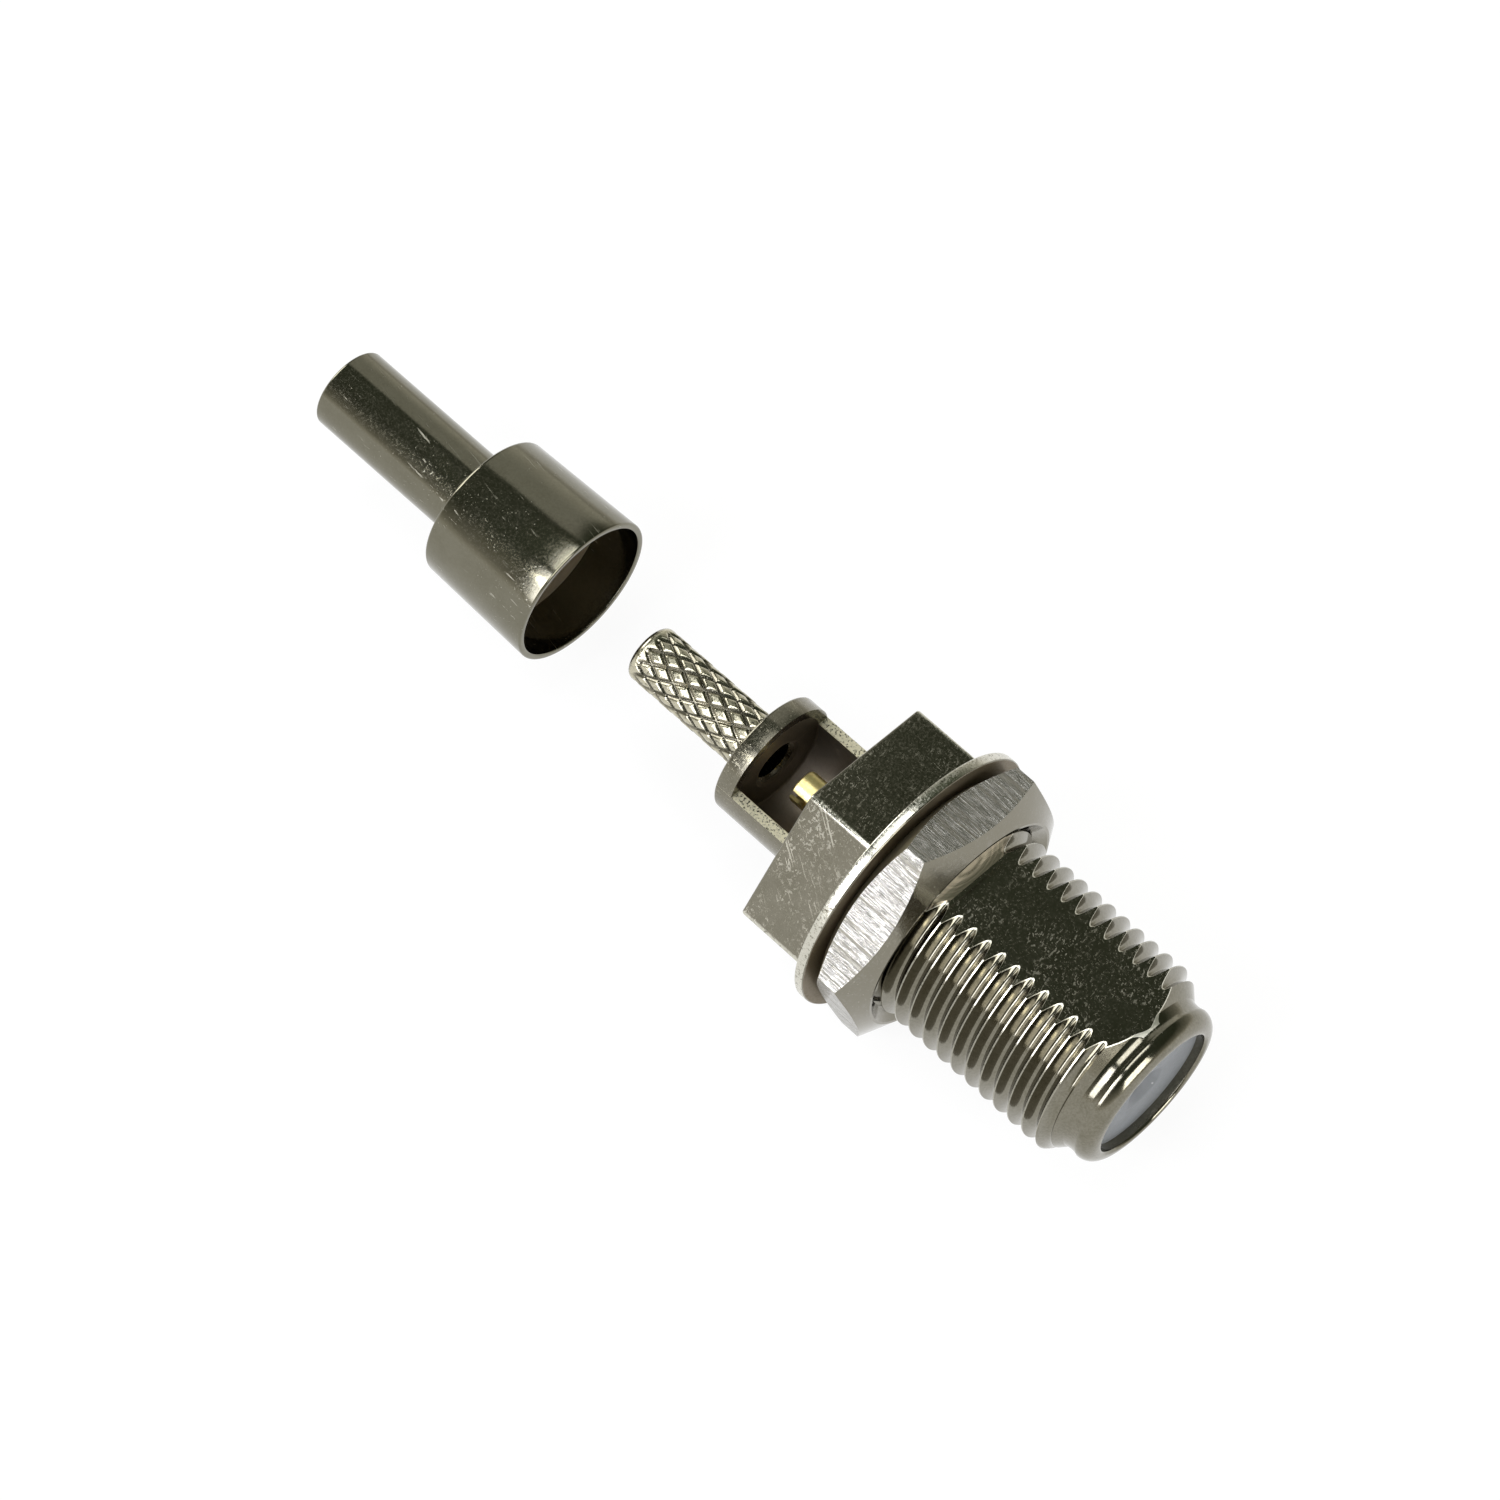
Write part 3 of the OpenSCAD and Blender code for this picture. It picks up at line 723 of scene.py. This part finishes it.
class JACK_OT_nut(bpy.types.Operator):
    """Panel nut with bevelled corners and a threaded, countersunk bore"""
    bl_idname = "jack.build_nut"
    bl_label = "Panel Nut"

    def execute(self, context):
        s = sizes_in_mm(context)
        finish = context.scene.jack_finish
        thick = NUT_HIGH[0] / MM
        face, corner = s["nut_face_d"] / 2, s["nut_across"] / math.sqrt(3)
        drop = (corner - face) * math.tan(math.radians(30))
        nut = hexagon("nut_bar", s["nut_across"], 0.0, thick, s["nut_turn"])
        bevels = lathe("nut_bevels", [
            (0.0, 0.0), (face, 0.0), (corner + 0.3, drop + 0.3 * drop / (corner - face)),
            (corner + 0.3, thick - drop - 0.3 * drop / (corner - face)), (face, thick), (0.0, thick)],
            steps=180)
        combine(nut, bevels, "INTERSECT")
        bore, sink = s["thread_d"] / 2 + 0.05, s["nut_sink"]
        hole = lathe("nut_hole", [
            (0.0, -1.0), (bore + sink + 1.0, -1.0), (bore, sink), (bore, thick - sink),
            (bore + sink + 1.0, thick + 1.0), (0.0, thick + 1.0)], steps=180)
        combine(nut, hole, "DIFFERENCE")
        pitch = s["thread_pitch"]
        groove = helix("nut_groove", [
            (bore - 0.1, -pitch), (bore - 0.1, -pitch * 0.45), (bore + 0.14, -pitch * 0.68),
            (bore + 0.14, -pitch * 0.77)], pitch, int(thick / pitch) + 3)
        combine(nut, groove, "DIFFERENCE")
        nut.name = nut.data.name = "panel_nut_plated"
        # The nut's plating is lifted by painted light, and its rear bevel is painted olive as a painted
        # reflection.
        metal = plated_metal("Bright nickel", finish.nickel_bright_and_lit, finish.nickel, finish.worn_edge_and_highlight,
                             gloss=0.07, scratches=0.15, speckle=0.0, grain=0.2, drawn=0.7,
                             gap=(-0.95, -0.3, 0.0, 1.0, (0.38, 0.34, 0.23)))
        finish_piece(nut, "nut", "panel_nut", metal, 24)
        return {"FINISHED"}


class JACK_OT_tail(bpy.types.Operator):
    """Knurled crimp stem and the solder chamber with its window"""
    bl_idname = "jack.build_tail"
    bl_label = "Crimp Tail"

    def execute(self, context):
        s = sizes_in_mm(context)
        finish = context.scene.jack_finish
        end, front = TAIL_LOW[0] / MM, TAIL_HIGH[0] / MM
        hex_rear = BODY_LOW[0] / MM
        rear = hex_rear - s["chamber_len"]
        wall = rear + s["chamber_wall"]
        stem, bore = s["stem_d"] / 2, s["stem_bore"] / 2
        outer, inner = s["chamber_d"] / 2, s["chamber_bore"] / 2
        starts, step = s["knurl_starts"], s["knurl_step"]
        fineness = 16
        first = end + 0.36
        rings = int((rear - first) / step * fineness)
        grid = [first + step / fineness * i for i in range(rings + 1)]
        tail = lathe("tail_turned", [(bore + 0.06, end), ]
                     + arc(stem - 0.3, end + 0.3, 0.3, -90, 0, 6)
                     + [(stem, x) for x in grid] + [(stem, rear)]
                     + arc(outer - 0.12, rear + 0.12, 0.12, -90, 0, 5)
                     + [(outer, front - 0.05), (outer - 0.05, front), (inner, front), (inner, wall + 0.06),
                        (inner - 0.06, wall), (bore + 0.34, wall), (bore + 0.3, wall - 0.03),
                        (bore + 0.22, wall - 0.05), (bore, wall - 0.25), (bore, end + 0.06)],
                     steps=starts * fineness)
        window = prism("tail_window", [
            (wall + 0.06, s["window_height"]), (hex_rear, s["window_height"]),
            (hex_rear, outer * 2), (wall + 0.06, outer * 2)], 4 * outer)
        turn_about_axis(window, s["window_turn"])
        combine(tail, window, "DIFFERENCE")
        depth = s["knurl_depth"]
        for vertex in tail.data.vertices:
            x, y, z = vertex.co
            radius = math.hypot(y, z)
            if abs(radius - stem) > 1e-3 or x < first - 1e-3 or x > rear + 1e-3:
                continue
            along, around = (x - first) / step, math.atan2(z, y) / FULL_TURN * starts
            ridge = min(abs((t + 0.5) % 1.0 - 0.5) * 2 for t in (around + along, around - along))
            fade = min(1.0, (x - first) / 0.3)
            sink = depth * fade * (1.0 - min(1.0, ridge * 2.0)) ** 1.4
            vertex.co.y, vertex.co.z = y * (radius - sink) / radius, z * (radius - sink) / radius
        tail.name = tail.data.name = "crimp_tail_plated"
        # The knurl's tops are painted bright as highlight and wear. The window's cut faces are painted bright as
        # a painted highlight, and the chamber's inside is painted brown as painted shade.
        metal = plated_metal("Knurled nickel", finish.nickel, finish.nickel_stain,
                             finish.knurl_wear_and_highlight, gloss=0.12, turning=0.2, speckle=0.06,
                             worn_and_highlit=((stem - 0.05, end, rear),), faced=(s["window_turn"], s["window_height"]),
                             inner=(inner + 0.03, wall - 0.1, (0.20, 0.165, 0.125)))
        finish_piece(tail, "jack", "crimp_tail", metal, 30)
        return {"FINISHED"}


class JACK_OT_insulators(bpy.types.Operator):
    """Front insulator in the mouth and rear insulator in the chamber"""
    bl_idname = "jack.build_insulators"
    bl_label = "Insulators"

    def execute(self, context):
        s = sizes_in_mm(context)
        finish = context.scene.jack_finish
        back, face = FRONT_LOW[0] / MM, FRONT_HIGH[0] / MM
        side = s["cavity_d"] / 2 - 0.02
        hole = s["wire_hole_d"] / 2
        front = lathe("front_insulator_moulded", [
            (hole + 0.44, face - 0.02), (hole + 0.5, face - 0.005), (hole + 0.62, face),
            (side, face), (side, back), (1.4, back), (1.4, face - 1.2), (hole, face - 1.2),
            (hole, face - 0.42), (hole + 0.03, face - 0.38)], steps=144)
        plastic = moulded_plastic("Front insulator plastic", finish.plastic)
        finish_piece(front, "jack", "front_insulator", plastic)
        low, high = REAR_LOW[0] / MM, REAR_HIGH[0] / MM
        gap, bead = s["cup_d"] / 2 + 0.02, s["chamber_bore"] / 2 - 0.02
        collar, shelf = s["collar_d"] / 2 + 0.02, high - 0.8
        rear = lathe("rear_insulator_turned", [
            (gap + 0.05, low)] + arc(bead - 0.08, low + 0.08, 0.08, -90, 0, 4) + [
            (bead, s["cavity_floor"]), (side, s["cavity_floor"]), (side, high), (collar, high),
            (collar, shelf), (gap, shelf), (gap, low + 0.05)], steps=128)
        ptfe = moulded_plastic("Rear insulator plastic", finish.ptfe, shine=0.35)
        finish_piece(rear, "jack", "rear_insulator", ptfe)
        return {"FINISHED"}


class JACK_OT_contact(bpy.types.Operator):
    """Gold-plated centre contact with its slotted solder cup and spring fingers"""
    bl_idname = "jack.build_contact"
    bl_label = "Centre Contact"

    def execute(self, context):
        s = sizes_in_mm(context)
        finish = context.scene.jack_finish
        low, high = CONTACT_LOW[0] / MM, CONTACT_HIGH[0] / MM
        cup, bore = s["cup_d"] / 2, s["cup_bore"] / 2
        collar, finger = s["collar_d"] / 2, s["finger_d"] / 2
        joint = FRONT_LOW[0] / MM
        contact = lathe("contact_turned", [(0.0, low + 2.2), (bore * 0.4, low + 2.1), (bore, low + 1.9)]
                        + arc(cup - 0.1, low + 0.1, 0.1, 200, 360, 8)
                        + [(cup, joint - 0.8), (collar, joint - 0.8), (collar, joint), (finger, joint)]
                        + arc(finger - 0.12, high - 0.12, 0.12, 0, 90, 5)
                        + [(0.57, high), (0.45, high - 0.12), (0.45, joint + 0.8), (0.0, joint + 0.8)],
                        steps=96)
        slot = prism("contact_slot", [(low - 1, 0.0), (low + 2, 0.0), (low + 2, 2.0), (low - 1, 2.0)], 0.4)
        turn_about_axis(slot, s["cup_turn"])
        combine(contact, slot, "DIFFERENCE")
        for turn in (0.0, math.pi / 2):
            saw = prism("contact_saw", [(joint + 0.8, -2), (high + 1, -2), (high + 1, 2), (joint + 0.8, 2)], 0.25)
            turn_about_axis(saw, turn)
            combine(contact, saw, "DIFFERENCE")
        contact.name = contact.data.name = "centre_contact_gold"
        gold = plated_metal("Gold plating", finish.gold, (0.62, 0.46, 0.2), (0.95, 0.85, 0.55),
                            gloss=0.25, density=20.0, scratches=0.35, speckle=0.1)
        finish_piece(contact, "jack", "centre_contact", gold)
        return {"FINISHED"}


class JACK_OT_ferrule(bpy.types.Operator):
    """Stepped crimp ferrule with a flared cup"""
    bl_idname = "jack.build_ferrule"
    bl_label = "Crimp Ferrule"

    def execute(self, context):
        s = sizes_in_mm(context)
        finish = context.scene.jack_finish
        tip, mouth = FERRULE_LOW[0] / MM, FERRULE_HIGH[0] / MM
        step = mouth - s["ferrule_cup_len"]
        cup, flare = s["ferrule_cup_d"] / 2, FERRULE_HIGH[2] / MM
        tube, bore, wall = s["ferrule_tube_d"] / 2, s["ferrule_bore"] / 2, s["ferrule_wall"]
        lean = flare - cup
        ferrule = lathe("crimp_ferrule_plated", arc(bore + 0.08, tip + 0.08, 0.08, 180, 270, 4)
                        + arc(tube - 0.12, tip + 0.12, 0.12, -90, 0, 6)
                        + [(tube, step - 0.04), (tube + 0.04, step)]
                        + arc(cup - 0.16, step + 0.16, 0.16, -90, 0, 7)
                        + [(cup + lean * t, step + 0.16 + (mouth - 0.1 - step - 0.16) * t)
                           for t in (0.25, 0.5, 0.75)]
                        + arc(flare - 0.1, mouth - 0.1, 0.1, 0, 90, 5)
                        + arc(flare - wall + 0.07, mouth - 0.07, 0.07, 90, 180, 4)
                        + [(cup - wall, step + 0.5), (cup - wall - 0.1, step + 0.4),
                           (bore + 0.05, step + 0.4), (bore, step + 0.35)], steps=180)
        # The ferrule's plating is darkened as painted shade, and the cup's inside is painted light brown as
        # painted light.
        metal = plated_metal("Satin nickel", finish.nickel_satin_and_shaded, finish.nickel_stain,
                             finish.worn_edge_and_highlight, gloss=0.09, turning=0.08, turn=0.2, scratches=0.35,
                             speckle=0.0, grain=0.25,
                             inner=(cup - wall + 0.1, step + 0.45, (0.78, 0.70, 0.58)))
        finish_piece(ferrule, "ferrule", "crimp_ferrule", metal, 40)
        return {"FINISHED"}


def softbox(name, along, turn, distance, width, height, level, tint=(1.0, 1.0, 1.0)):
    """A soft lamp that faces the jack, with its brightness given as seen from the jack.

    along is its place along the axis on a unit sphere, and turn its angle in degrees from
    straight above towards the front. width runs along the axis and height about it.
    """
    data = bpy.data.lights.new(name, "AREA")
    data.shape = "RECTANGLE"
    data.size, data.size_y = width, height
    data.energy = math.pi * width * height * level
    data.color = tint
    lamp = bpy.data.objects.new(name, data)
    ring = math.sqrt(1.0 - along * along)
    way = Vector((along, -ring * math.sin(math.radians(turn)), ring * math.cos(math.radians(turn))))
    across = Vector((1, 0, 0)) - along * way
    across.normalize()
    upward = way.cross(across)
    lamp.matrix_world = Matrix([
        (across[i], upward[i], way[i], way[i] * distance) for i in range(3)] + [(0, 0, 0, 1)])
    bpy.context.scene.collection.objects.link(lamp)
    return lamp


class JACK_OT_stage(bpy.types.Operator):
    """Camera, floor, world and studio lamps"""
    bl_idname = "jack.build_stage"
    bl_label = "Studio Stage"

    def execute(self, context):
        scene = context.scene
        scene.view_settings.view_transform = "Standard"
        lean, roll, hex_turn = math.radians(19.0), math.radians(41.3), math.radians(29.3)
        toward = Vector((math.sin(lean), -math.cos(lean) * math.sin(hex_turn),
                         math.cos(lean) * math.cos(hex_turn)))
        side = Vector((0.0, math.cos(hex_turn), math.sin(hex_turn)))
        along = side.cross(toward).normalized()
        right = math.cos(roll) * along + math.sin(roll) * side
        up = -math.sin(roll) * along + math.cos(roll) * side
        aim = Vector((-9.27, 0, 0)) - 0.321 * side
        camera = bpy.data.objects.new("Camera", bpy.data.cameras.new("Camera"))
        camera.matrix_world = Matrix((
            (*[v for v in (right.x, up.x, toward.x)], (aim.x + 200 * toward.x) * MM),
            (*[v for v in (right.y, up.y, toward.y)], (aim.y + 200 * toward.y) * MM),
            (*[v for v in (right.z, up.z, toward.z)], (aim.z + 200 * toward.z) * MM),
            (0, 0, 0, 1)))
        camera.data.lens = 113.5
        camera.data.sensor_width = 36.0
        camera.data.clip_start = 0.01
        scene.collection.objects.link(camera)
        scene.camera = camera

        clear_selection()
        bpy.ops.mesh.primitive_plane_add(size=8.0, location=(0, 0, CAD_BOX[0][2] - 0.0001))
        floor = context.object
        floor.name = "studio_floor"
        bpy.ops.object.transform_apply(location=True, rotation=True, scale=True)
        material = bpy.data.materials.new("Studio floor")
        material.use_nodes = True
        tree = material.node_tree
        tree.nodes.clear()
        place = put(tree, "ShaderNodeTexCoord").outputs["Object"]
        cloud = put(tree, "ShaderNodeTexNoise", {"Vector": place, "Scale": 30.0, "Detail": 3.0}).outputs[0]
        tint = blend(tree, cloud, (*scene.jack_finish.floor, 1.0), (0.97, 0.97, 0.965, 1.0))
        paper = put(tree, "ShaderNodeBsdfDiffuse", {"Color": tint, "Roughness": 1.0}).outputs[0]
        glow = put(tree, "ShaderNodeEmission", {"Color": (1, 1, 1, 1), "Strength": 1.0}).outputs[0]
        ray = put(tree, "ShaderNodeLightPath").outputs
        seen = maths(tree, "MAXIMUM", ray["Is Camera Ray"],
                     maths(tree, "MAXIMUM", ray["Is Glossy Ray"], ray["Is Transmission Ray"]))
        share = maths(tree, "MULTIPLY", seen, 0.9)
        both = put(tree, "ShaderNodeMixShader", {0: share, 1: paper, 2: glow}).outputs[0]
        output = put(tree, "ShaderNodeOutputMaterial")
        tree.links.new(both, output.inputs[0])
        floor.data.materials.append(material)

        world = bpy.data.worlds.new("Studio")
        scene.world = world
        world.use_nodes = True
        tree = world.node_tree
        tree.nodes.clear()
        way = put(tree, "ShaderNodeTexCoord").outputs["Generated"]
        height = put(tree, "ShaderNodeSeparateXYZ", {0: way}).outputs[2]
        sky = put(tree, "ShaderNodeValToRGB", {0: ramp(tree, height, -0.1, 1.0)})
        stops = sky.color_ramp.elements
        stops[0].position, stops[0].color = 0.0, (0.92, 0.91, 0.88, 1)
        stops[1].position, stops[1].color = 1.0, (0.085, 0.10, 0.07, 1)
        for position, value in ((0.11, (0.90, 0.88, 0.82, 1)), (0.24, (0.42, 0.41, 0.35, 1)),
                                (0.60, (0.07, 0.08, 0.052, 1))):
            stop = stops.new(position)
            stop.color = value
        glow = put(tree, "ShaderNodeBackground", {"Color": sky.outputs[0], "Strength": 1.0}).outputs[0]
        output = put(tree, "ShaderNodeOutputWorld")
        tree.links.new(glow, output.inputs[0])

        softbox("Key softbox", -0.112, 60, 0.50, 0.24, 0.40, 6.3, (0.90, 0.91, 1.0))
        softbox("Core softbox", -0.25, 53, 0.48, 0.09, 0.07, 15.0, (1.0, 0.99, 0.94))
        softbox("Top softbox", -0.14, 10, 0.50, 0.19, 0.36, 4.2, (0.97, 0.98, 1.0))
        softbox("Rear fill", -0.50, -50, 0.50, 0.14, 0.50, 0.5, (1.0, 0.99, 0.95))
        softbox("Mouth softbox", 0.85, 20, 0.50, 0.30, 0.30, 6.0, (1.0, 0.995, 0.98))
        softbox("Tail softbox", -0.88, 10, 0.50, 0.30, 0.30, 5.0, (1.0, 0.995, 0.98))
        return {"FINISHED"}


class JACK_PT_sidebar(bpy.types.Panel):
    """Lists the builders and their sizes"""
    bl_idname = "JACK_PT_sidebar"
    bl_label = "Coaxial Jack"
    bl_space_type = "VIEW_3D"
    bl_region_type = "UI"
    bl_category = "Coaxial Jack"

    def draw(self, context):
        layout = self.layout
        for operator in OPERATORS:
            layout.operator(operator.bl_idname)
        for group in (context.scene.jack_sizes, context.scene.jack_finish):
            box = layout.box()
            for key in group.__annotations__:
                box.prop(group, key)


OPERATORS = (JACK_OT_stage, JACK_OT_body, JACK_OT_nut, JACK_OT_tail, JACK_OT_insulators,
             JACK_OT_contact, JACK_OT_ferrule)
CLASSES = (JackSizes, JackFinish) + OPERATORS + (JACK_PT_sidebar,)


def register():
    for cls in CLASSES:
        bpy.utils.register_class(cls)
    bpy.types.Scene.jack_sizes = bpy.props.PointerProperty(type=JackSizes)
    bpy.types.Scene.jack_finish = bpy.props.PointerProperty(type=JackFinish)


def unregister():
    del bpy.types.Scene.jack_finish
    del bpy.types.Scene.jack_sizes
    for cls in reversed(CLASSES):
        bpy.utils.unregister_class(cls)


def main():
    register()
    bpy.ops.jack.build_stage()
    bpy.ops.jack.build_body()
    bpy.ops.jack.build_nut()
    bpy.ops.jack.build_tail()
    bpy.ops.jack.build_insulators()
    bpy.ops.jack.build_contact()
    bpy.ops.jack.build_ferrule()
    clear_selection()


if __name__ == "__main__":
    main()
